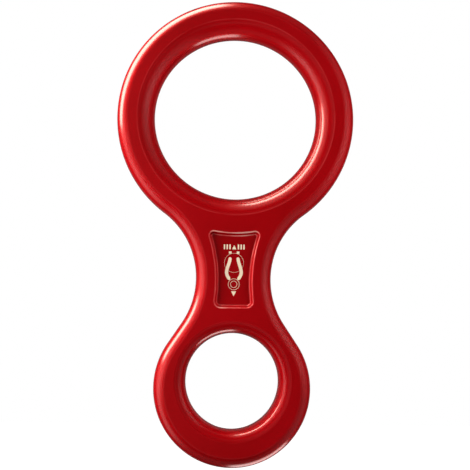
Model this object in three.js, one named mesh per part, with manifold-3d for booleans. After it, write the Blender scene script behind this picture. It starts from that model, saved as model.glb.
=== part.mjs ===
// A figure-eight rope descender: one forged and red-anodised aluminium body. A large rope eye is
// at the top, a small carabiner eye is at the bottom, and a waisted neck with a shallow marking
// panel on each face joins them. The body has no separate pieces and nothing on it moves.
//
// Units are millimetres. +Z is up, +X is across, and the front face looks along -Y. The origin is
// the crown of the large eye: the point of its bore wall, half way through the thickness, that is
// straight above the eye's centre. A hook or a rope bears there when the descender hangs.
//
// The body is drawn in plan (x across, y up, z towards the front face) and turned upright at the end.

import * as THREE from 'three';
import { mergeVertices } from 'three/addons/utils/BufferGeometryUtils.js';
import Module from 'manifold-3d';

// Driving dimensions.
const THICKNESS = 12;
const LENGTH = 145;
const LARGE_BORE_RADIUS = 25.3;
const LARGE_OUTER_RADIUS = 37;
const SMALL_BORE_HALF_WIDTH = 14.3;
const SMALL_BORE_HALF_HEIGHT = 14.7;
const SMALL_OUTER_RADIUS = 24.2;
const SMALL_BORE_RISE = 2.2; // the small bore's centre above the centre of its outer round
const NECK_RADIUS = 25; // of the hollow in each side
const NECK_HALF_WIDTH = 11.6;

// The marking panel: its rim on the face, and its wall down to the floor.
const PANEL_TOP_RADIUS = 35.9; // its top edge runs round the large eye's centre
const PANEL_HALF_WAIST = 5.9;
const PANEL_WAIST_BELOW_LARGE = 51; // the waist's distance below the large eye's centre
const PANEL_SIDE_RADIUS = 44;
const PANEL_BOTTOM_BELOW_LARGE = 59.4;
const PANEL_TOP_CORNER = 1.7;
const PANEL_BOTTOM_CORNER = 2.3;
const PANEL_DEPTH = 1.5;
const PANEL_WALL_SLOPE = 65; // degrees of tilt from the face at the middle of the wall
const PANEL_WALL_ROUND = 0.55; // radius where the wall meets the face, and the floor

// A section is the run of an edge from the flat face down to the middle of the thickness. It starts
// at a tilt, in degrees from the face, and goes on through arcs of [radius, end tilt]. A last arc,
// whose radius follows from the height that is left, turns it square to the face at the middle.
const OUTER_SECTION = { startTilt: 19, arcs: [[5.2, 84]] };
const LARGE_SECTION = { startTilt: 9, arcs: [] };
const SMALL_SECTION = { startTilt: 5, arcs: [[4.8, 22], [4.2, 55], [1, 84]] };

// Fineness of the facets.
const OUTLINE_STEP = 2.8; // longest side along an outline
const SECTION_STEP = 16; // widest turn along a section, in degrees
const CUT_CLEARANCE = 1; // how far a cutter stands out of the face that it cuts

// Places that follow from the dimensions, in plan.
const HALF = THICKNESS / 2;
const LARGE_Y = -LARGE_BORE_RADIUS;
const SMALL_OUTER_Y = LARGE_Y - (LENGTH - LARGE_OUTER_RADIUS - SMALL_OUTER_RADIUS);
const SMALL_BORE_Y = SMALL_OUTER_Y + SMALL_BORE_RISE;
const NECK_X = NECK_HALF_WIDTH + NECK_RADIUS;
const NECK_Y = LARGE_Y - Math.sqrt((LARGE_OUTER_RADIUS + NECK_RADIUS) ** 2 - NECK_X ** 2);

const radians = THREE.MathUtils.degToRad;
const sinOf = (degrees) => Math.sin(radians(degrees));
const cosOf = (degrees) => Math.cos(radians(degrees));

// Points of an arc in plan with their outward normals, both ends included. A hollow arc's normals
// point at its centre.
function arc(x, y, radius, from, to, hollow = false) {
  const steps = Math.max(2, Math.ceil((Math.abs(to - from) * radius) / OUTLINE_STEP));
  const side = hollow ? -1 : 1;
  return Array.from({ length: steps + 1 }, (_, i) => {
    const angle = from + ((to - from) * i) / steps;
    const normal = new THREE.Vector2(Math.cos(angle), Math.sin(angle));
    const point = new THREE.Vector2(x, y).addScaledVector(normal, radius);
    return { point, normal: normal.multiplyScalar(side) };
  });
}

// The right half's samples followed by their mirror images, so that the outline is closed and
// counterclockwise. The half runs upwards, and samples on the middle line aren't repeated.
function mirrored(half) {
  const flip = ({ x, y }) => new THREE.Vector2(-x, y);
  const left = half.filter(({ point }) => point.x > 1e-6).reverse();
  return [...half, ...left.map(({ point, normal }) => ({ point: flip(point), normal: flip(normal) }))];
}

// The body's outline: the small round, a straight flank, the neck's hollow and the large round.
function bodyOutline() {
  const across = NECK_X;
  const up = NECK_Y - SMALL_OUTER_Y;
  const lean = Math.acos((SMALL_OUTER_RADIUS + NECK_RADIUS) / Math.hypot(across, up));
  const flankNormal = Math.atan2(up, across) - lean;
  const shoulder = Math.atan2(NECK_Y - LARGE_Y, NECK_X);
  return mirrored([
    ...arc(0, SMALL_OUTER_Y, SMALL_OUTER_RADIUS, -Math.PI / 2, flankNormal),
    ...arc(NECK_X, NECK_Y, NECK_RADIUS, Math.PI + flankNormal, Math.PI + shoulder, true),
    ...arc(0, LARGE_Y, LARGE_OUTER_RADIUS, shoulder, Math.PI / 2).slice(1),
  ]);
}

// The panel's rim: a straight bottom, waisted sides, and a top that follows the large eye.
function panelOutline() {
  const bottomY = LARGE_Y - PANEL_BOTTOM_BELOW_LARGE;
  const waistY = LARGE_Y - PANEL_WAIST_BELOW_LARGE;
  const sideX = PANEL_HALF_WAIST + PANEL_SIDE_RADIUS;
  // Each corner's centre lies inside the side by the corner's radius, and inside the other edge too.
  const bottomCornerY = bottomY + PANEL_BOTTOM_CORNER;
  const bottomReach = PANEL_SIDE_RADIUS + PANEL_BOTTOM_CORNER;
  const bottomCornerX = sideX - Math.sqrt(bottomReach ** 2 - (waistY - bottomCornerY) ** 2);
  const topReach = PANEL_SIDE_RADIUS + PANEL_TOP_CORNER;
  const topRing = PANEL_TOP_RADIUS + PANEL_TOP_CORNER;
  const top = circlesMeet(sideX, waistY, topReach, 0, LARGE_Y, topRing);
  const bottomTurn = Math.atan2(waistY - bottomCornerY, sideX - bottomCornerX);
  const topTurn = Math.atan2(waistY - top.y, sideX - top.x);
  const topEnd = Math.atan2(LARGE_Y - top.y, -top.x);
  return mirrored([
    ...arc(bottomCornerX, bottomCornerY, PANEL_BOTTOM_CORNER, -Math.PI / 2, bottomTurn),
    ...arc(sideX, waistY, PANEL_SIDE_RADIUS, Math.PI + bottomTurn, Math.PI + topTurn, true).slice(1),
    ...arc(top.x, top.y, PANEL_TOP_CORNER, topTurn, topEnd).slice(1),
    ...arc(0, LARGE_Y, PANEL_TOP_RADIUS, topEnd - Math.PI, -Math.PI / 2, true).slice(1),
  ]);
}

// The point where two circles meet that is right of, and below, the second one's centre.
function circlesMeet(x1, y1, r1, x2, y2, r2) {
  const apart = new THREE.Vector2(x1 - x2, y1 - y2);
  const distance = apart.length();
  const along = (r2 ** 2 - r1 ** 2 + distance ** 2) / (2 * distance);
  const aside = Math.sqrt(r2 ** 2 - along ** 2);
  const unit = apart.divideScalar(distance);
  return new THREE.Vector2(
    x2 + unit.x * along + unit.y * aside,
    y2 + unit.y * along - unit.x * aside,
  );
}

// The points of a section as { inset, height }, from the middle of the thickness to the front face.
function sectionPoints({ startTilt, arcs }) {
  const points = [{ inset: 0, height: HALF }];
  const turn = (radius, from, to) => {
    const { inset, height } = points[points.length - 1];
    const steps = Math.max(1, Math.ceil((to - from) / SECTION_STEP));
    for (let i = 1; i <= steps; i++) {
      const tilt = from + ((to - from) * i) / steps;
      points.push({
        inset: inset - radius * (sinOf(tilt) - sinOf(from)),
        height: height - radius * (cosOf(from) - cosOf(tilt)),
      });
    }
  };
  let tilt = startTilt;
  for (const [radius, endTilt] of arcs) {
    turn(radius, tilt, endTilt);
    tilt = endTilt;
  }
  const heightLeft = points[points.length - 1].height;
  turn(heightLeft / cosOf(tilt), tilt, 90);
  const edge = points[points.length - 1].inset;
  return points.map(({ inset, height }) => ({ inset: inset - edge, height })).reverse();
}

// The same points from the back face to the front face.
function wholeSection(section) {
  const front = sectionPoints(section);
  const back = front.slice(1).reverse();
  return [...back.map(({ inset, height }) => ({ inset, height: -height })), ...front];
}

// The panel's wall as { inset, height }, from its floor to just above the face.
function panelWall() {
  const round = PANEL_WALL_ROUND;
  const rounding = round * (1 - cosOf(PANEL_WALL_SLOPE));
  const straightRun = (PANEL_DEPTH - 2 * rounding) / Math.tan(radians(PANEL_WALL_SLOPE));
  const run = 2 * round * sinOf(PANEL_WALL_SLOPE) + straightRun;
  const floor = HALF - PANEL_DEPTH;
  const tilts = [0, 0.5, 1].map((share) => share * PANEL_WALL_SLOPE);
  const atFloor = tilts.map((tilt) => ({
    inset: run - round * sinOf(tilt),
    height: floor + round * (1 - cosOf(tilt)),
  }));
  const atRim = tilts.map((tilt) => ({
    inset: round * sinOf(tilt),
    height: HALF - round * (1 - cosOf(tilt)),
  }));
  return [...atFloor, ...atRim.reverse(), { inset: -CUT_CLEARANCE, height: HALF + CUT_CLEARANCE }];
}

// A bore's outline, a circle or an ellipse. Its normals point into the bore, away from the body.
function boreOutline(y, halfWidth, halfHeight) {
  const count = Math.ceil((2 * Math.PI * Math.max(halfWidth, halfHeight)) / OUTLINE_STEP);
  return Array.from({ length: count }, (_, i) => {
    const angle = (2 * Math.PI * i) / count;
    const [across, up] = [Math.cos(angle), Math.sin(angle)];
    const normal = new THREE.Vector2(-across / halfWidth, -up / halfHeight).normalize();
    return { point: new THREE.Vector2(across * halfWidth, y + up * halfHeight), normal };
  });
}

// A closed geometry whose rings are the outline, moved inwards and to the height of each point.
function loft(outline, section) {
  const rings = section.map(({ inset }) =>
    outline.map(({ point, normal }) => point.clone().addScaledVector(normal, -inset)));
  const count = outline.length;
  const positions = rings.flatMap((ring, k) => ring.flatMap(({ x, y }) => [x, y, section[k].height]));
  const indices = [];
  for (let k = 0; k + 1 < rings.length; k++) {
    for (let i = 0; i < count; i++) {
      const next = (i + 1) % count;
      const [a, b] = [k * count + i, k * count + next];
      const [c, d] = [b + count, a + count];
      indices.push(a, b, d, b, c, d);
    }
  }
  const cap = (k) => THREE.ShapeUtils.triangulateShape(rings[k], []).map((face) =>
    face.map((i) => k * count + i));
  cap(0).forEach(([a, b, c]) => indices.push(c, b, a));
  cap(rings.length - 1).forEach((face) => indices.push(...face));
  const geometry = new THREE.BufferGeometry();
  geometry.setAttribute('position', new THREE.Float32BufferAttribute(positions, 3));
  return geometry.setIndex(indices);
}

// A cutter that leaves a bore with the given section and stands clear of both faces.
function boreCutter(outline, section) {
  const wall = wholeSection(section);
  const mouth = wall[wall.length - 1].inset;
  const end = (side) => ({ inset: mouth + CUT_CLEARANCE, height: side * (HALF + CUT_CLEARANCE) });
  return loft(outline, [end(-1), ...wall, end(1)]);
}

const wasm = await Module();
wasm.setup();

// A closed geometry as a solid for joining and cutting.
function solid(geometry) {
  const bare = geometry.clone();
  bare.deleteAttribute('normal');
  bare.deleteAttribute('uv');
  const merged = mergeVertices(bare, 1e-4);
  const corners = merged.index.array;
  const triangles = [];
  for (let i = 0; i < corners.length; i += 3) {
    const [a, b, c] = corners.slice(i, i + 3);
    if (a !== b && b !== c && c !== a) triangles.push(a, b, c);
  }
  const vertProperties = Float32Array.from(merged.attributes.position.array);
  const mesh = new wasm.Mesh({ numProp: 3, vertProperties, triVerts: Uint32Array.from(triangles) });
  return new wasm.Manifold(mesh);
}

// A solid as a geometry with flat facets.
function geometryOf(shape) {
  const { vertProperties, triVerts } = shape.getMesh();
  const geometry = new THREE.BufferGeometry();
  geometry.setAttribute('position', new THREE.BufferAttribute(vertProperties, 3));
  geometry.setIndex(new THREE.BufferAttribute(triVerts, 1));
  const faceted = geometry.toNonIndexed();
  faceted.computeVertexNormals();
  return faceted;
}

function forgedBody() {
  const blank = solid(loft(bodyOutline(), wholeSection(OUTER_SECTION)));
  const largeOutline = boreOutline(LARGE_Y, LARGE_BORE_RADIUS, LARGE_BORE_RADIUS);
  const smallOutline = boreOutline(SMALL_BORE_Y, SMALL_BORE_HALF_WIDTH, SMALL_BORE_HALF_HEIGHT);
  const largeBore = solid(boreCutter(largeOutline, LARGE_SECTION));
  const smallBore = solid(boreCutter(smallOutline, SMALL_SECTION));
  const frontPanel = solid(loft(panelOutline(), panelWall()));
  const backPanel = frontPanel.rotate([0, 180, 0]);
  const body = blank.subtract(largeBore).subtract(smallBore).subtract(frontPanel).subtract(backPanel);
  const red = new THREE.MeshStandardMaterial({ color: 0xa80810, metalness: 0.9, roughness: 0.3 });
  const mesh = new THREE.Mesh(geometryOf(body), red);
  mesh.name = 'forged_body';
  return mesh;
}

const descender = new THREE.Group();
descender.name = 'figure_eight_descender';
descender.rotation.x = Math.PI / 2;
descender.add(forgedBody());

export default descender;
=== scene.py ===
"""A figure-eight rope descender in red anodised aluminium, in a plain pale studio.

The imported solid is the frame. One finely meshed body stands for it, with rounded creases and exact
surface normals, and a thin cream mark lies on the floor of its front panel. Sizes are millimetres
until MM turns them into metres. The body's plan is drawn in x and z, and y runs from the front
face, at its lowest, to the back face.
"""

import math

import bpy
import numpy as np
from mathutils import Matrix, Vector
from mathutils.geometry import delaunay_2d_cdt


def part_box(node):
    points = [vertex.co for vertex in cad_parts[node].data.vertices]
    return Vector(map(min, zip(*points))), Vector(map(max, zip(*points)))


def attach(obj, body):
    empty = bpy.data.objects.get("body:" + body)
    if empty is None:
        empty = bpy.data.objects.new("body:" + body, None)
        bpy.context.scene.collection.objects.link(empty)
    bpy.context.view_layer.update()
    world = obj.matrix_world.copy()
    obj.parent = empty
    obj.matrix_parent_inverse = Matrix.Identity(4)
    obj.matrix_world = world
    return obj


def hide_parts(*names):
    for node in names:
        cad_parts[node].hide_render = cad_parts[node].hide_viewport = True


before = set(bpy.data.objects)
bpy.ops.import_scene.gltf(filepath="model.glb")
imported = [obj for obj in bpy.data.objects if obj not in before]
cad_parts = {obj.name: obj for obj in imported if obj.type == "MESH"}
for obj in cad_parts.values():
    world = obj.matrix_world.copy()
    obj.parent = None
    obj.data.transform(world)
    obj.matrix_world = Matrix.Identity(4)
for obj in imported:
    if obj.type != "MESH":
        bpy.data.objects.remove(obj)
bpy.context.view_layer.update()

MM = 0.001
NODE = "forged_body"

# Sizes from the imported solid.
CAD_LOW, CAD_HIGH = (np.array(corner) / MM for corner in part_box(NODE))
HALF = (CAD_HIGH[1] - CAD_LOW[1]) / 2
TOP_Z, BOTTOM_Z = CAD_HIGH[2], CAD_LOW[2]

# The body's plan.
LARGE_BORE_RADIUS = 25.3
LARGE_OUTER_RADIUS = 37.0
SMALL_BORE_HALF_WIDTH = 14.3
SMALL_BORE_HALF_HEIGHT = 14.7
SMALL_OUTER_RADIUS = 24.2
SMALL_BORE_RISE = 2.2
NECK_RADIUS = 25.0
NECK_HALF_WIDTH = 11.6
LARGE_Z = TOP_Z - LARGE_OUTER_RADIUS
SMALL_OUTER_Z = BOTTOM_Z + SMALL_OUTER_RADIUS
SMALL_BORE_Z = SMALL_OUTER_Z + SMALL_BORE_RISE
NECK_X = NECK_HALF_WIDTH + NECK_RADIUS
NECK_Z = LARGE_Z - math.sqrt((LARGE_OUTER_RADIUS + NECK_RADIUS) ** 2 - NECK_X**2)

# The marking panel in each face of the neck.
PANEL_TOP_RADIUS = 35.9
PANEL_HALF_WAIST = 5.9
PANEL_WAIST_Z = LARGE_Z - 51
PANEL_SIDE_RADIUS = 44.0
PANEL_BOTTOM_Z = LARGE_Z - 59.4
PANEL_TOP_CORNER = 1.7
PANEL_BOTTOM_CORNER = 2.3
PANEL_DEPTH = 1.5
PANEL_WALL_SLOPE = 65
PANEL_WALL_ROUND = 0.55

# An edge's section from the flat face to the middle of the thickness: arcs of (radius, end tilt in
# degrees). The first arc is the soft crease. One more arc, to 90 degrees, is worked out.
OUTER_SECTION = [(2.0, 19), (4.3, 84)]
LARGE_SECTION = [(3.4, 10)]
SMALL_SECTION = [(2.0, 5), (4.6, 22), (2.9, 36), (2.6, 57), (6.0, 84)]

# How strongly each crease gets a painted sheen: a paler colour that stands in for the light lines
# that reflections draw along the creases. On the panel's rim, more is added towards its top, as
# painted light on an edge that faces down into shade, and towards its bottom, as painted highlights.
OUTER_SHEEN = 0.1
LARGE_SHEEN = 0.5
SMALL_SHEEN = 0.25
PANEL_RIM_SHEEN = 0.9
PANEL_TOP_SHEEN = 1.9
PANEL_LOW_SHEEN = 0.6
PANEL_FLOOR_SHEEN = 0.7

# Fineness: the longest side along an outline, along the panel's and across a flat face, the widest
# turn along a section in degrees, and the rows in each round of the panel's wall.
OUTLINE_STEP = 0.6
PANEL_STEP = 0.3
FLAT_STEP = 2.2
TILT_STEP = 3.3
PANEL_ROUND_ROWS = 9
FLAT_CLEARANCE = 0.45 * FLAT_STEP  # between a flat face's inner points and its sides
LEAST_STEPS = 3  # along any arc
AXIS_GAP = 1e-6  # what is nearer to the middle line than this is on it
MERGE_GAP = 1e-7  # points of a flat face that are nearer than this are one


# Outlines: arrays of (x, z, normal x, normal z), with the body on the left of the way round.


def arc(x, z, radius, start, end, step, hollow=False):
    """Samples of an arc with both ends. A hollow arc's normals point at its centre."""
    count = max(LEAST_STEPS, math.ceil(abs(end - start) * radius / step))
    angles = np.linspace(start, end, count + 1)
    across, up = np.cos(angles), np.sin(angles)
    side = -1 if hollow else 1
    return np.column_stack([x + radius * across, z + radius * up, side * across, side * up])


def straight(a, b, step):
    """Samples between two others that share a normal, without the ends."""
    count = max(1, math.ceil(math.dist(a[:2], b[:2]) / step))
    shares = np.linspace(0, 1, count + 1)[1:-1, None]
    return a + (b - a) * shares


def joined(*runs):
    """Runs of samples, each after the first without the point that it shares with the last one."""
    return np.concatenate([runs[0], *(run[1:] for run in runs[1:])])


def mirrored(half):
    """The right half, which runs upwards, followed by its mirror image."""
    left = half[half[:, 0] > AXIS_GAP][::-1] * [-1, 1, -1, 1]
    return np.concatenate([half, left])


def body_outline():
    up = NECK_Z - SMALL_OUTER_Z
    lean = math.acos((SMALL_OUTER_RADIUS + NECK_RADIUS) / math.hypot(NECK_X, up))
    flank = math.atan2(up, NECK_X) - lean
    shoulder = math.atan2(NECK_Z - LARGE_Z, NECK_X)
    small = arc(0, SMALL_OUTER_Z, SMALL_OUTER_RADIUS, -math.pi / 2, flank, OUTLINE_STEP)
    neck = arc(NECK_X, NECK_Z, NECK_RADIUS, math.pi + flank, math.pi + shoulder, OUTLINE_STEP, True)
    large = arc(0, LARGE_Z, LARGE_OUTER_RADIUS, shoulder, math.pi / 2, OUTLINE_STEP)
    side = straight(small[-1], neck[0], OUTLINE_STEP)
    return mirrored(np.concatenate([small, side, neck, large[1:]]))


def eye_outline(z, half_width, half_height):
    """A bore's wall, clockwise, with normals into the bore."""
    count = math.ceil(2 * math.pi * half_height / OUTLINE_STEP)
    angles = -np.arange(count) * 2 * math.pi / count
    across, up = np.cos(angles), np.sin(angles)
    normals = -np.column_stack([across / half_width, up / half_height])
    normals /= np.linalg.norm(normals, axis=1)[:, None]
    return np.column_stack([across * half_width, z + up * half_height, normals])


def circles_meet(first, first_radius, second, second_radius):
    """Where two circles meet, to the right of and below the second one's centre."""
    apart = np.subtract(first, second)
    distance = np.linalg.norm(apart)
    unit = apart / distance
    along = (second_radius**2 - first_radius**2 + distance**2) / (2 * distance)
    aside = math.sqrt(second_radius**2 - along**2)
    return second + unit * along + np.array([unit[1], -unit[0]]) * aside


def panel_outline():
    """The panel's rim, clockwise, with normals towards the panel's middle."""
    side_x = PANEL_HALF_WAIST + PANEL_SIDE_RADIUS
    low_z = PANEL_BOTTOM_Z + PANEL_BOTTOM_CORNER
    reach = PANEL_SIDE_RADIUS + PANEL_BOTTOM_CORNER
    low_x = side_x - math.sqrt(reach**2 - (PANEL_WAIST_Z - low_z) ** 2)
    top_x, top_z = circles_meet(
        (side_x, PANEL_WAIST_Z),
        PANEL_SIDE_RADIUS + PANEL_TOP_CORNER,
        (0, LARGE_Z),
        PANEL_TOP_RADIUS + PANEL_TOP_CORNER,
    )
    low_turn = math.atan2(PANEL_WAIST_Z - low_z, side_x - low_x)
    top_turn = math.atan2(PANEL_WAIST_Z - top_z, side_x - top_x)
    top_end = math.atan2(LARGE_Z - top_z, -top_x)
    low = arc(low_x, low_z, PANEL_BOTTOM_CORNER, -math.pi / 2, low_turn, PANEL_STEP)
    middle = np.array([0.0, PANEL_BOTTOM_Z, 0.0, -1.0])
    side = (math.pi + low_turn, math.pi + top_turn)
    half = joined(
        np.vstack([middle, straight(middle, low[0], PANEL_STEP), low[:1]]),
        low,
        arc(side_x, PANEL_WAIST_Z, PANEL_SIDE_RADIUS, *side, PANEL_STEP, True),
        arc(top_x, top_z, PANEL_TOP_CORNER, top_turn, top_end, PANEL_STEP),
        arc(0, LARGE_Z, PANEL_TOP_RADIUS, top_end - math.pi, -math.pi / 2, PANEL_STEP, True),
    )
    return mirrored(half)[::-1] * [1, 1, -1, -1]


# Sections: lists of (inset from the outline, height above the middle, tilt, strength of painted
# sheen).


def tilts(start, end):
    """The tilts along one arc of a section, without its start."""
    count = max(LEAST_STEPS, math.ceil(abs(end - start) / TILT_STEP))
    return np.linspace(start, end, count + 1)[1:]


def half_section(arcs, painted_sheen):
    """From the flat face to the middle of the thickness, with painted sheen on the first arc."""
    inset, height, tilt = 0.0, HALF, 0.0
    rows = [(inset, height, tilt, 0.0)]
    soft_end = arcs[0][1]
    for radius, end in [*arcs, (None, 90)]:
        if radius is None:
            radius = height / math.cos(math.radians(tilt))
        sine, cosine = math.sin(math.radians(tilt)), math.cos(math.radians(tilt))
        for turned in tilts(tilt, end):
            angle = math.radians(turned)
            # Painted sheen, which peaks halfway along the first arc.
            edge = painted_sheen * math.sin(math.pi * turned / soft_end) if turned < soft_end else 0.0
            reach = inset - radius * (math.sin(angle) - sine)
            depth = height - radius * (cosine - math.cos(angle))
            rows.append((reach, depth, turned, edge))
        inset, height, tilt = rows[-1][:3]
    return [(row[0] - inset, *row[1:]) for row in rows]


def whole_section(arcs, painted_sheen):
    """From the front face to the back face."""
    front = half_section(arcs, painted_sheen)
    back = [(inset, -height, 180 - tilt, edge) for inset, height, tilt, edge in front[-2::-1]]
    return front + back


def panel_section():
    """From the panel's rim to its floor: a round, a straight slope and a fillet."""
    steep = math.radians(PANEL_WALL_SLOPE)
    drop = PANEL_WALL_ROUND * (1 - math.cos(steep))
    straight_run = (PANEL_DEPTH - 2 * drop) / math.tan(steep)
    run = 2 * PANEL_WALL_ROUND * math.sin(steep) + straight_run
    rim, fillet = [], []
    # Both rounds get painted sheen, which peaks halfway round each, and is weaker on the floor's
    # fillet.
    for turned in np.linspace(0, PANEL_WALL_SLOPE, PANEL_ROUND_ROWS):
        reach = PANEL_WALL_ROUND * math.sin(math.radians(turned))
        fall = PANEL_WALL_ROUND * (1 - math.cos(math.radians(turned)))
        share = math.sin(math.pi * turned / PANEL_WALL_SLOPE)
        rim.append((-reach, HALF - fall, turned, math.sqrt(share)))
        fillet.append((reach - run, HALF - PANEL_DEPTH + fall, turned, PANEL_FLOOR_SHEEN * share))
    return rim + fillet[::-1]


def even_sheen(up):
    """The same painted sheen all the way round."""
    return 1.0


def panel_sheen(up):
    """The painted sheen round the panel's rim, stronger towards its top edge, which faces down into
    shade, and towards its bottom edge. Up is -1 along its top edge and 1 along its bottom edge.
    """
    top, low = max(0.0, -up) ** 2, max(0.0, up) ** 2
    return PANEL_RIM_SHEEN + PANEL_TOP_SHEEN * top + PANEL_LOW_SHEEN * low


# The mesh.


class Surface:
    """Collects vertices with their normals, and faces that turn outwards."""

    def __init__(self):
        self.points, self.normals, self.edges, self.faces = [], [], [], []

    def ring(self, outline, row, sheen_round):
        """One closed ring of vertices. It gives the place of its first vertex."""
        inset, height, tilt, edge = row
        sine, cosine = math.sin(math.radians(tilt)), math.cos(math.radians(tilt))
        start = len(self.points)
        for x, z, across, up in outline:
            self.points.append((x - across * inset, -height, z - up * inset))
            self.normals.append((across * sine, -cosine, up * sine))
            # The strength of painted sheen at this vertex, which the material reads.
            self.edges.append(edge * sheen_round(up))
        return start

    def strip(self, outline, section, sheen_round=even_sheen):
        """The wall through a section's rings. It gives the first and the last ring's place."""
        count = len(outline)
        starts = [self.ring(outline, row, sheen_round) for row in section]
        for near, far in zip(starts, starts[1:]):
            for i in range(count):
                j = (i + 1) % count
                self.faces.append((near + i, far + i, far + j, near + j))
        return range(starts[0], starts[0] + count), range(starts[-1], starts[-1] + count)

    def flat(self, rings, height, normal_y):
        """A flat face at one height, inside the first ring and outside the others."""
        indices = [i for ring in rings for i in ring]
        plan = np.array([(self.points[i][0], self.points[i][2]) for i in indices])
        loops, start = [], 0
        for ring in rings:
            loops.append(np.arange(start, start + len(ring)))
            start += len(ring)
        inner = grid_inside(plan, loops)
        corners = [Vector(p) for p in np.vstack([plan, inner])]
        sides = [(int(a), int(b)) for loop in loops for a, b in zip(loop, np.roll(loop, -1))]
        coords, _, triangles, origins, _, _ = delaunay_2d_cdt(corners, sides, [], 0, MERGE_GAP)
        places = {}
        for new, olds in enumerate(origins):
            old = olds[0]
            if old < len(indices):
                places[new] = indices[old]
                continue
            places[new] = len(self.points)
            self.points.append((coords[new][0], -height, coords[new][1]))
            self.normals.append((0.0, normal_y, 0.0))
            self.edges.append(0.0)
        centres = np.array([sum((coords[i] for i in t), Vector((0, 0))) / 3 for t in triangles])
        kept = inside(centres, plan, loops)
        for triangle, keep in zip(triangles, kept):
            if keep:
                a, b, c = (places[i] for i in triangle)
                self.faces.append((a, b, c) if normal_y < 0 else (c, b, a))

    def mirror_back(self, first_point, first_face):
        """Copies what was added since then to the back of the body, and gives the shift."""
        shift = len(self.points) - first_point
        for i in range(first_point, first_point + shift):
            x, y, z = self.points[i]
            across, through, up = self.normals[i]
            self.points.append((x, -y, z))
            self.normals.append((across, -through, up))
            self.edges.append(self.edges[i])
        for face in self.faces[first_face:]:
            self.faces.append(tuple(i + shift for i in reversed(face)))
        return shift

    def mesh(self, name):
        mesh = bpy.data.meshes.new(name)
        points = [(x * MM, y * MM, z * MM) for x, y, z in self.points]
        mesh.from_pydata(points, [], self.faces)
        # The painted sheen's strength, as an attribute that the material reads.
        edge = mesh.attributes.new("crease", "FLOAT", "POINT")
        edge.data.foreach_set("value", self.edges)
        mesh.normals_split_custom_set_from_vertices(self.normals)
        mesh.validate()
        return mesh


def inside(points, plan, loops):
    """Whether each point is inside an odd number of the loops."""
    odd = np.zeros(len(points), bool)
    for loop in loops:
        a, b = plan[loop], plan[np.roll(loop, -1)]
        for (ax, az), (bx, bz) in zip(a, b):
            crosses = (az > points[:, 1]) != (bz > points[:, 1])
            if az == bz:
                continue
            at = ax + (points[:, 1] - az) * (bx - ax) / (bz - az)
            odd ^= crosses & (points[:, 0] < at)
    return odd


def grid_inside(plan, loops):
    """A staggered grid of points inside the face and clear of its sides."""
    low, high = plan.min(axis=0), plan.max(axis=0)
    rows = np.arange(low[1], high[1], FLAT_STEP * math.sqrt(3) / 2)
    points = []
    for k, z in enumerate(rows):
        xs = np.arange(low[0] + (k % 2) * FLAT_STEP / 2, high[0], FLAT_STEP)
        points += [(x, z) for x in xs]
    points = np.array(points)
    points = points[inside(points, plan, loops)]
    nearest = np.array([np.min(np.hypot(*(plan - p).T)) for p in points])
    return points[nearest > FLAT_CLEARANCE]


def body_mesh():
    surface = Surface()
    outer = whole_section(OUTER_SECTION, OUTER_SHEEN)
    outer_front, outer_back = surface.strip(body_outline(), outer)
    large = eye_outline(LARGE_Z, LARGE_BORE_RADIUS, LARGE_BORE_RADIUS)
    large_front, large_back = surface.strip(large, whole_section(LARGE_SECTION, LARGE_SHEEN))
    small = eye_outline(SMALL_BORE_Z, SMALL_BORE_HALF_WIDTH, SMALL_BORE_HALF_HEIGHT)
    small_front, small_back = surface.strip(small, whole_section(SMALL_SECTION, SMALL_SHEEN))
    first_point, first_face = len(surface.points), len(surface.faces)
    rim, floor = surface.strip(panel_outline(), panel_section(), panel_sheen)
    surface.flat([floor], HALF - PANEL_DEPTH, -1.0)
    shift = surface.mirror_back(first_point, first_face)
    back_rim = [i + shift for i in rim]
    surface.flat([outer_front, large_front, small_front, rim], HALF, -1.0)
    surface.flat([outer_back, large_back, small_back, back_rim], -HALF, 1.0)
    return surface.mesh("descender_body")


def add_object(name, mesh, material):
    piece = bpy.data.objects.new(name, mesh)
    piece.data.materials.append(material)
    bpy.context.scene.collection.objects.link(piece)
    return piece


# The mark on the front panel: plain ticks, triangles, squares, bowed strokes and thin rings.

MARK_Y = -(HALF - PANEL_DEPTH)
MARK_PROUD = 0.03
MARK_TOP_Z = PANEL_BOTTOM_Z + 19.0  # the middle of the row of ticks
MARK_LOW_Z = PANEL_BOTTOM_Z + 4.6  # the middle of the lower triangle
MARK_LINE = 0.11
MARK_POINT = 0.03  # the width of a triangle's tip
BARS = [
    # x on each side, depth below the ticks, width, height
    (1.3, 0.0, 0.42, 1.5),
    (2.15, 0.0, 0.42, 1.5),
    (3.0, 0.0, 0.42, 1.5),
    (1.2, 1.75, 0.8, 0.7),
]
STROKE_TOP, STROKE_LOW = 3.2, 10.1  # depths below the ticks
STROKE_WIDTH = 0.98
STROKE_HALF_GAP = 1.2  # from the panel's axis to a bowed stroke's ends
STROKE_BOW = 1.05
STROKE_SAG = 1.7  # above 1, the strokes are widest apart below their middle
STROKE_TIP = 0.05  # a stroke's round end is cut off at this share of its radius
RINGS = [
    # depth below the ticks, radius, line
    (4.9, 2.95, 0.6 * MARK_LINE),
    (11.5, 1.7, MARK_LINE),
    (11.5, 1.0, MARK_LINE),
]
RING_STEPS = 40
STROKE_STEPS = 24


def upright(x, z, width, height, low_width=None):
    """A straight bar, or a triangle when the upper and the lower width differ."""
    low_width = width if low_width is None else low_width
    return [(x, z + height / 2), (x, z - height / 2)], [width, low_width]


def circle(z, radius, line):
    """A thin ring on the panel's axis."""
    angles = np.linspace(0, 2 * math.pi, RING_STEPS + 1)
    path = np.column_stack([radius * np.cos(angles), z + radius * np.sin(angles)])
    return path, [line] * len(path)


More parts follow.
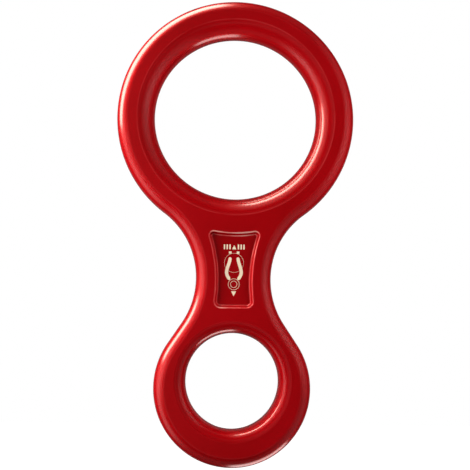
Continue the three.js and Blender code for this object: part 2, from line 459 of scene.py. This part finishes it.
def bowed(side, high, low):
    """One of two bowed strokes with round ends."""
    share = np.linspace(0, 1, STROKE_STEPS + 1)
    apart = STROKE_HALF_GAP + STROKE_BOW * np.sin(math.pi * share**STROKE_SAG)
    ends = np.minimum(share, 1 - share) * (high - low) / (STROKE_WIDTH / 2)
    widths = STROKE_WIDTH * np.sqrt(1 - (1 - np.clip(ends, STROKE_TIP, 1)) ** 2)
    return np.column_stack([side * apart, high + (low - high) * share]), widths


def mark_shapes():
    """Ribbons: a path and its width at each of the path's points."""
    top = MARK_TOP_Z
    shapes = [upright(0, top - 0.1, MARK_POINT, height=1.3, low_width=1.25)]
    shapes.append(upright(0, MARK_LOW_Z, 1.5, height=1.5, low_width=MARK_POINT))
    for side in (-1, 1):
        for x, drop, width, height in BARS:
            shapes.append(upright(side * x, top - drop, width, height))
        shapes.append(bowed(side, top - STROKE_TOP, top - STROKE_LOW))
    shapes += [circle(top - drop, radius, line) for drop, radius, line in RINGS]
    return shapes


def ribbon(path, widths, start):
    """A ribbon's corners, four for each point of its path, and its faces."""
    path = np.array(path, float)
    along = np.gradient(path, axis=0)
    closed = np.allclose(path[0], path[-1])
    if closed:
        along[0] = along[-1] = path[1] - path[-2]
    along /= np.linalg.norm(along, axis=1)[:, None]
    out = np.column_stack([along[:, 1], -along[:, 0]]) * np.array(widths)[:, None] / 2
    left, right = path - out, path + out
    points = []
    for (lx, lz), (rx, rz) in zip(left, right):
        for y in (MARK_Y - MARK_PROUD, MARK_Y + MARK_PROUD):
            points += [(lx * MM, y * MM, lz * MM), (rx * MM, y * MM, rz * MM)]
    faces = []
    for k in range(start, start + 4 * (len(path) - 1), 4):
        for a, b in ((0, 1), (1, 3), (3, 2), (2, 0)):
            faces.append((k + a, k + a + 4, k + b + 4, k + b))
    if not closed:
        last = start + 4 * (len(path) - 1)
        faces += [(start, start + 1, start + 3, start + 2), (last + 2, last + 3, last + 1, last)]
    return points, faces


def mark_mesh():
    points, faces = [], []
    for path, widths in mark_shapes():
        more_points, more_faces = ribbon(path, widths, len(points))
        points += more_points
        faces += more_faces
    mesh = bpy.data.meshes.new("panel_mark")
    mesh.from_pydata(points, [], faces)
    mesh.validate()
    return mesh


# Materials. Colours are linear red, green and blue, and each pair is what its noise runs between.

DYE = (0.42, 0.0002, 0.0024), (0.51, 0.0006, 0.0042)
# Painted sheen along the creases, and a pale painted highlight where the sheen is strongest.
SHEEN_COLOUR = (0.74, 0.05, 0.054)
HIGHLIGHT_COLOUR = (0.95, 0.55, 0.48)
HIGHLIGHT_SHEEN = (0.7, 2.0)  # the painted sheen at which the painted highlight starts to show, and shows fully
FILM_TINT = (0.8, 0.08, 0.08)
FILM_ROUGHNESS = (0.38, 0.44)
SHEEN_SHARE = (0.15, 1.0)  # how much of a crease's painted sheen shows, from patch to patch
NOISE_RANGE = (0.3, 0.7)  # where nearly all of a noise's values are
CREAM = (0.80, 0.62, 0.44), (0.90, 0.76, 0.58)
PAPER = (0.86, 0.86, 0.86), (0.9, 0.9, 0.9)

# Scales of the noises, in features per metre.
DYE_CLOUDS, SHEEN_PATCHES, SATIN_PATCHES, FORGED_GRAIN = 38, 90, 240, 260
MARK_SPECKLE, PAPER_GRAIN = 4000, 300


class Maths:
    """Numbers and colours worked out by nodes. Each value is a socket or a plain one."""

    def __init__(self, tree):
        self.nodes, self.links = tree.nodes, tree.links

    def feed(self, socket, value):
        if isinstance(value, (int, float, tuple)):
            socket.default_value = value
        else:
            self.links.new(value, socket)

    def do(self, operation, *values):
        node = self.nodes.new("ShaderNodeMath")
        node.operation = operation
        for socket, value in zip(node.inputs, values):
            self.feed(socket, value)
        return node.outputs["Value"]

    def scaled(self, colour, scale):
        node = self.nodes.new("ShaderNodeVectorMath")
        node.operation = "SCALE"
        self.feed(node.inputs[0], colour)
        self.feed(node.inputs["Scale"], scale)
        return node.outputs["Vector"]

    def added(self, first, second):
        node = self.nodes.new("ShaderNodeVectorMath")
        node.operation = "ADD"
        self.feed(node.inputs[0], first)
        self.feed(node.inputs[1], second)
        return node.outputs["Vector"]

    def rise(self, value, start, end):
        """None before the start and one past the end, which may be the lower of the two."""
        node = self.nodes.new("ShaderNodeMapRange")
        node.interpolation_type = "SMOOTHSTEP"
        self.feed(node.inputs["Value"], value)
        low, high = min(start, end), max(start, end)
        node.inputs["From Min"].default_value = low
        node.inputs["From Max"].default_value = high
        node.inputs["To Min"].default_value = 0.0 if start < end else 1.0
        node.inputs["To Max"].default_value = 1.0 if start < end else 0.0
        return node.outputs["Result"]

    def window(self, value, soft_low, low, high, soft_high):
        """One between low and high, and none outside the soft limits."""
        return self.do("MULTIPLY", self.rise(value, soft_low, low), self.rise(value, soft_high, high))


def new_material(name):
    material = bpy.data.materials.new(name)
    material.use_nodes = True
    nodes, links = material.node_tree.nodes, material.node_tree.links
    return material, nodes, links, nodes["Principled BSDF"]


def noise(nodes, links, scale, detail=2.0, roughness=0.5):
    """Noise over the object's own coordinates, with scale in features per metre."""
    coords = nodes.new("ShaderNodeTexCoord")
    texture = nodes.new("ShaderNodeTexNoise")
    texture.inputs["Scale"].default_value = scale
    texture.inputs["Detail"].default_value = detail
    texture.inputs["Roughness"].default_value = roughness
    links.new(coords.outputs["Object"], texture.inputs["Vector"])
    return texture.outputs["Fac"]


def spread(nodes, links, value, low, high, limits=NOISE_RANGE):
    """A value between low and high that follows another one, which by default is a noise."""
    node = nodes.new("ShaderNodeMapRange")
    node.inputs["From Min"].default_value = limits[0]
    node.inputs["From Max"].default_value = limits[1]
    node.inputs["To Min"].default_value = low
    node.inputs["To Max"].default_value = high
    links.new(value, node.inputs["Value"])
    return node.outputs["Result"]


def blended(nodes, links, share, first, second):
    """A colour between two others; each is a socket or a plain colour."""
    node = nodes.new("ShaderNodeMix")
    node.data_type = "RGBA"
    links.new(share, node.inputs["Factor"])
    for name, colour in (("A", first), ("B", second)):
        socket = next(s for s in node.inputs if s.name == name and s.type == "RGBA")
        if isinstance(colour, tuple):
            socket.default_value = (*colour, 1)
        else:
            links.new(colour, socket)
    return next(s for s in node.outputs if s.type == "RGBA")


def anodised_aluminium():
    """Dyed, satin oxide under a clear sealed skin, with painted sheen along the creases and a pale
    painted highlight where it is strongest.
    """
    material, nodes, links, shader = new_material("red_anodised_aluminium")
    cloud = spread(nodes, links, noise(nodes, links, DYE_CLOUDS, detail=3), 0.0, 1.0)
    colour = blended(nodes, links, cloud, *DYE)
    # Painted sheen along the creases, in patches, and a pale painted highlight where it is strongest.
    crease = nodes.new("ShaderNodeAttribute")
    crease.attribute_name = "crease"
    patches = noise(nodes, links, SHEEN_PATCHES, detail=3)
    patchy = spread(nodes, links, patches, *SHEEN_SHARE)
    painted_sheen = Maths(material.node_tree).do("MULTIPLY", crease.outputs["Fac"], patchy)
    colour = blended(nodes, links, painted_sheen, colour, SHEEN_COLOUR)
    painted_highlight = spread(nodes, links, painted_sheen, 0.0, 1.0, HIGHLIGHT_SHEEN)
    colour = blended(nodes, links, painted_highlight, colour, HIGHLIGHT_COLOUR)
    links.new(colour, shader.inputs["Base Color"])
    roughness = spread(nodes, links, noise(nodes, links, SATIN_PATCHES), *FILM_ROUGHNESS)
    links.new(roughness, shader.inputs["Roughness"])
    shader.inputs["Metallic"].default_value = 0.4
    shader.inputs["Specular IOR Level"].default_value = 0.0
    shader.inputs["Specular Tint"].default_value = (*FILM_TINT, 1)
    shader.inputs["Coat Weight"].default_value = 1.0
    shader.inputs["Coat Roughness"].default_value = 0.18
    shader.inputs["Coat IOR"].default_value = 1.9
    bump = nodes.new("ShaderNodeBump")
    bump.inputs["Strength"].default_value = 0.5
    bump.inputs["Distance"].default_value = 0.05 * MM
    grain = noise(nodes, links, FORGED_GRAIN, detail=4, roughness=0.45)
    links.new(grain, bump.inputs["Height"])
    links.new(bump.outputs["Normal"], shader.inputs["Normal"])
    return material


def mark_finish():
    material, nodes, links, shader = new_material("laser_mark")
    speckle = noise(nodes, links, MARK_SPECKLE, detail=3)
    colour = blended(nodes, links, speckle, *CREAM)
    links.new(colour, shader.inputs["Base Color"])
    shader.inputs["Roughness"].default_value = 0.6
    return material


def floor_paper():
    """Pale paper whose own light keeps it white where the object shades it."""
    material, nodes, links, shader = new_material("floor_paper")
    grain = noise(nodes, links, PAPER_GRAIN, detail=4)
    colour = blended(nodes, links, grain, *PAPER)
    links.new(colour, shader.inputs["Base Color"])
    shader.inputs["Roughness"].default_value = 0.9
    shader.inputs["Specular IOR Level"].default_value = 0.1
    shader.inputs["Emission Color"].default_value = (1, 1, 1, 1)
    shader.inputs["Emission Strength"].default_value = 1.0
    return material


# The studio. Places and sizes are millimetres, and radiances are in the render's own units.

MIDDLE = (0, 0, (TOP_Z + BOTTOM_Z) / 2)

# Square lights that light the dye and leave no highlight: name, place, side and radiance.
FILLS = [
    ("left_fill", (-170, -80, -80), 190, 10.0),
    ("right_fill", (170, -82, -30), 170, 8.0),
    ("back_fill", (260, 420, 120), 500, 5.0),
]
FILL_COLOUR = (1, 0.97, 0.94)
FILL_SOFT = (0.25, 0.25)

# Lights that make the highlights: name, two ends in x and z, span in y, radiance and colour.
STRIPS = [
    ("key", (-290, -22), (2, 209), (-80, 70), 8.8, (1.0, 0.90, 0.75)),
    ("low", (-6, -375), (275, -375), (-10, 260), 3.0, (1.0, 0.94, 0.90)),
]
STRIP_SOFT = (0.1, 0.3)

# Soft glows of the surroundings, by direction. Angles are degrees: round the front view from +X
# towards +Z, and out from the direction of the front. A range is soft low, low, high and soft high.
AROUND = [
    # centre, range round it, range out from the front, radiance, colour
    (195, (-25, -15, 20, 45), (56, 74, 94, 104), 0.42, (1.0, 0.94, 0.90)),
    (138, (-55, -42, 30, 50), (44, 58, 100, 125), 0.34, (1.0, 0.88, 0.80)),
    (0, (-65, -40, 35, 60), (32, 46, 90, 102), 0.07, (1.0, 0.95, 0.95)),
]
# The rest of the surroundings. The front's and the back's glow each start at one angle out from the
# front and are full at another. The shade in the front's glow is in degrees towards +X and +Z.
EVEN_GLOW = 0.008
FRONT_GLOW, FRONT_START, FRONT_FULL = 0.07, 34, 20
FRONT_SHADE, SHADE_ASIDE, SHADE_ABOVE = 0.95, (-7, 1, 15, 22), (-18, -14, 18, 22)
SIDE_GLOW, SIDE_RANGE = 0.05, (50, 70, 100, 110)
BACK_GLOW, BACK_START, BACK_FULL = 0.10, 115, 150

FLOOR_HALF = 3000
FLOOR_DROP = 300


def area_light(name, width, height, radiance, colour, soft):
    """A rectangular light whose radiance fades over a share of each side."""
    data = bpy.data.lights.new(name, "AREA")
    data.shape = "RECTANGLE"
    data.size, data.size_y = width * MM, height * MM
    data.energy = radiance * math.pi * data.size * data.size_y
    data.color = colour
    data.use_nodes = True
    maths = Maths(data.node_tree)
    emission = next(node for node in maths.nodes if node.type == "EMISSION")
    split = maths.nodes.new("ShaderNodeSeparateXYZ")
    place = maths.nodes.new("ShaderNodeNewGeometry").outputs["Parametric"]
    maths.links.new(place, split.inputs["Vector"])
    share = 1.0
    for axis, edge in zip(split.outputs, soft):
        share = maths.do("MULTIPLY", share, maths.window(axis, 0.0, edge, 1 - edge, 1.0))
    maths.links.new(share, emission.inputs["Strength"])
    light = bpy.data.objects.new(name, data)
    bpy.context.scene.collection.objects.link(light)
    light.visible_camera = False
    return light


def aim(item, place, target):
    """Puts an object at a place, in millimetres, with its -Z axis towards a target."""
    place, target = Vector(place) * MM, Vector(target) * MM
    turn = (target - place).to_track_quat("-Z", "Y").to_matrix().to_4x4()
    item.matrix_world = Matrix.Translation(place) @ turn


def fill_light(name, place, side, radiance):
    light = area_light(name, side, side, radiance, FILL_COLOUR, FILL_SOFT)
    light.visible_glossy = False
    aim(light, place, MIDDLE)


def strip_light(name, start, end, span, radiance, colour):
    """A light along the line between two ends, turned to the side on which the object is."""
    start, end = np.array(start), np.array(end)
    along = end - start
    length = np.linalg.norm(along)
    middle = (start + end) / 2
    facing = np.array([along[1], -along[0]]) / length
    if facing @ (np.array([MIDDLE[0], MIDDLE[2]]) - middle) < 0:
        facing = -facing
    low_y, high_y = span
    light = area_light(name, length, high_y - low_y, radiance, colour, STRIP_SOFT)
    x_axis = Vector((along[0], 0, along[1])).normalized()
    z_axis = -Vector((facing[0], 0, facing[1]))
    y_axis = z_axis.cross(x_axis)
    turn = Matrix((x_axis, y_axis, z_axis)).transposed().to_4x4()
    place = Vector((middle[0], (low_y + high_y) / 2, middle[1])) * MM
    light.matrix_world = Matrix.Translation(place) @ turn


def make_floor():
    """A white floor below the object, which neither lights the object nor shows in it."""
    half, low = FLOOR_HALF * MM, (BOTTOM_Z - FLOOR_DROP) * MM
    mesh = bpy.data.meshes.new("studio_floor")
    corners = [(-half, -half, low), (half, -half, low), (half, half, low), (-half, half, low)]
    mesh.from_pydata(corners, [], [(0, 1, 2, 3)])
    floor = add_object("studio_floor", mesh, floor_paper())
    floor.visible_glossy = False
    floor.visible_diffuse = False


def front_glow(maths, polar, aside, above):
    """The glow round the direction of the front, with a shaded patch in it."""
    near = maths.rise(polar, FRONT_START, FRONT_FULL)
    shade = maths.do(
        "MULTIPLY", maths.window(aside, *SHADE_ASIDE), maths.window(above, *SHADE_ABOVE)
    )
    lit = maths.do("SUBTRACT", 1.0, maths.do("MULTIPLY", shade, FRONT_SHADE))
    return maths.do("MULTIPLY", maths.do("MULTIPLY", near, lit), FRONT_GLOW)


def surround_colour(maths, direction):
    """The light that the object gets from each direction of the studio."""
    split = maths.nodes.new("ShaderNodeSeparateXYZ")
    maths.links.new(direction, split.inputs["Vector"])
    x, y, z = split.outputs
    front = maths.do("MULTIPLY", y, -1.0)
    polar = maths.do("DEGREES", maths.do("ARCCOSINE", front))
    round_view = maths.do("DEGREES", maths.do("ARCTAN2", z, x))
    aside = maths.do("DEGREES", maths.do("ARCTAN2", x, front))
    above = maths.do("DEGREES", maths.do("ARCTAN2", z, front))
    level = maths.do("ADD", front_glow(maths, polar, aside, above), EVEN_GLOW)
    side = maths.do("MULTIPLY", maths.window(polar, *SIDE_RANGE), SIDE_GLOW)
    back = maths.do("MULTIPLY", maths.rise(polar, BACK_START, BACK_FULL), BACK_GLOW)
    level = maths.do("ADD", maths.do("ADD", level, side), back)
    total = maths.scaled((1.0, 1.0, 1.0), level)
    for centre, turn, out, radiance, colour in AROUND:
        turned = maths.do("WRAP", maths.do("SUBTRACT", round_view, float(centre)), 180.0, -180.0)
        share = maths.do("MULTIPLY", maths.window(turned, *turn), maths.window(polar, *out))
        total = maths.added(total, maths.scaled(colour, maths.do("MULTIPLY", share, radiance)))
    return total


def make_world():
    """The studio's glows, which light the object. The camera itself sees plain white instead."""
    world = bpy.data.worlds.new("studio")
    bpy.context.scene.world = world
    world.use_nodes = True
    nodes, links = world.node_tree.nodes, world.node_tree.links
    nodes.clear()
    direction = nodes.new("ShaderNodeTexCoord").outputs["Generated"]
    surround = nodes.new("ShaderNodeBackground")
    links.new(surround_colour(Maths(world.node_tree), direction), surround.inputs["Color"])
    backdrop = nodes.new("ShaderNodeBackground")
    backdrop.inputs["Color"].default_value = (1, 1, 1, 1)
    rays = nodes.new("ShaderNodeLightPath")
    choice = nodes.new("ShaderNodeMixShader")
    output = nodes.new("ShaderNodeOutputWorld")
    links.new(rays.outputs["Is Camera Ray"], choice.inputs["Fac"])
    links.new(surround.outputs["Background"], choice.inputs[1])
    links.new(backdrop.outputs["Background"], choice.inputs[2])
    links.new(choice.outputs["Shader"], output.inputs["Surface"])


# The camera, in millimetres and degrees.

CAMERA_PLACE = (-12.8, -333.0, -85.6)
CAMERA_TARGET = (0.36, 0.0, -61.7)
CAMERA_ROLL = 0.82
CAMERA_LENS = 82.0
CAMERA_SENSOR = 36.0
CAMERA_NEAR, CAMERA_FAR = 10, 20000


def make_camera():
    data = bpy.data.cameras.new("photo_camera")
    data.lens, data.sensor_width = CAMERA_LENS, CAMERA_SENSOR
    data.clip_start, data.clip_end = CAMERA_NEAR * MM, CAMERA_FAR * MM
    camera = bpy.data.objects.new("photo_camera", data)
    bpy.context.scene.collection.objects.link(camera)
    aim(camera, CAMERA_PLACE, CAMERA_TARGET)
    camera.matrix_world = camera.matrix_world @ Matrix.Rotation(math.radians(CAMERA_ROLL), 4, "Z")
    bpy.context.scene.camera = camera


make_camera()
body = add_object("descender_body", body_mesh(), anodised_aluminium())
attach(body, "root")
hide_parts(NODE)
mark = add_object("panel_mark", mark_mesh(), mark_finish())
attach(mark, "root")
make_floor()
make_world()
for fill in FILLS:
    fill_light(*fill)
for strip in STRIPS:
    strip_light(*strip)
bpy.context.scene.view_settings.view_transform = "Standard"
